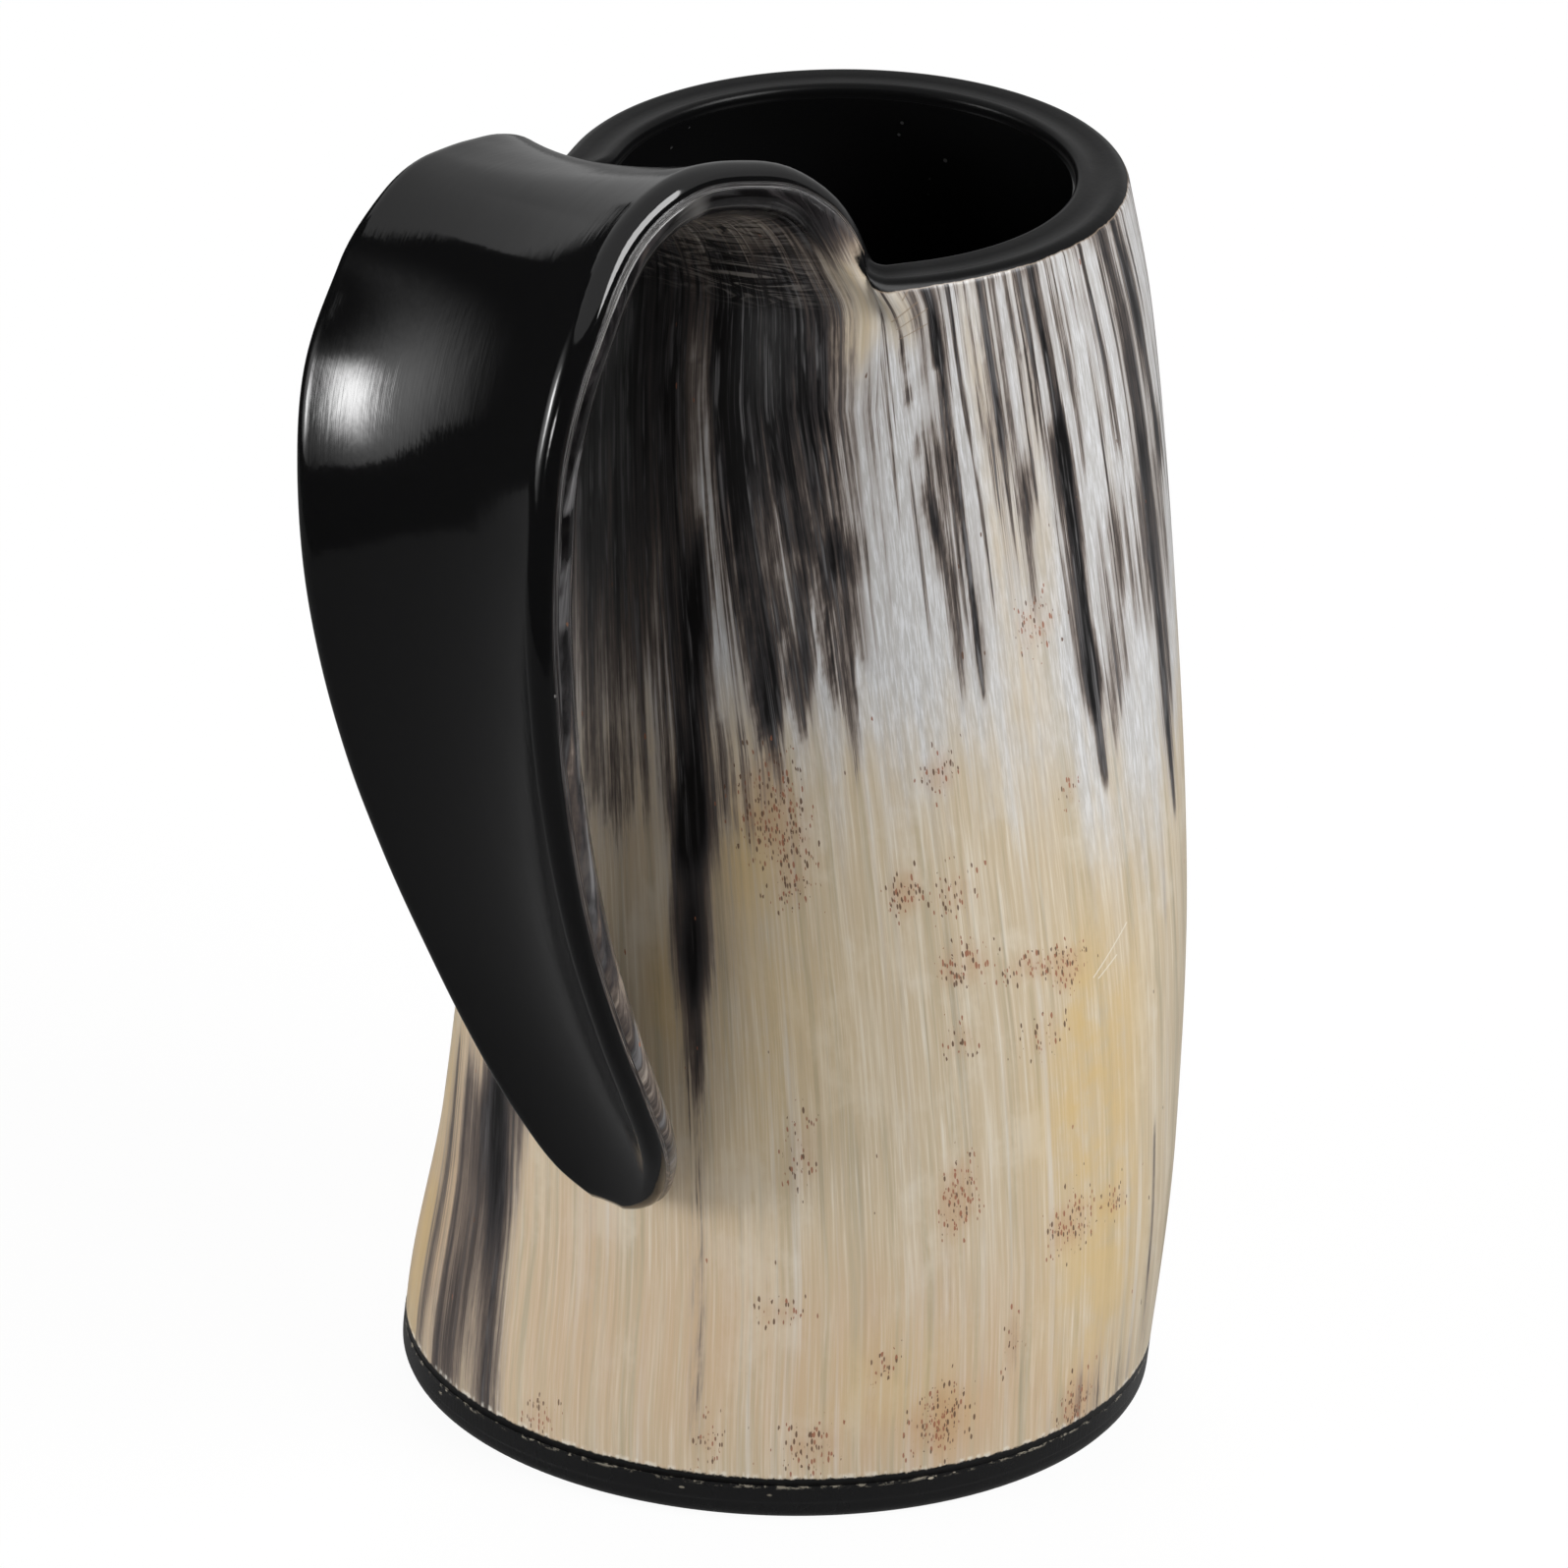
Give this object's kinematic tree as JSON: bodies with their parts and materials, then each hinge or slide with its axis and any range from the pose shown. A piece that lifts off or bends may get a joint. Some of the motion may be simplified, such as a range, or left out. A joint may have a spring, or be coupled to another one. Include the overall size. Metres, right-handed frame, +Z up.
{
  "type": "horn drinking mug",
  "caption": "Tall oval-footed mug of polished horn with a strap handle turned out of the wall over the rim, a black lined bore and a flat black base.",
  "frame": {"origin": "centre of the foot, on the surface that the mug stands on", "axes": "+Z up the mug, +X towards the strap handle, +Y to the side"},
  "size_m": [0.1081, 0.0894, 0.1677],
  "materials": {
    "horn": "polished horn, cream with dark streaks, black strap",
    "base": "black lacquer",
    "adhesive": "cured adhesive",
    "lining": "glossy black coat"
  },
  "bodies": {
    "root": {"horn_cup": "horn", "base_disc": "base", "glue_ring": "adhesive", "inner_lining": "lining"}
  },
  "joints": []
}
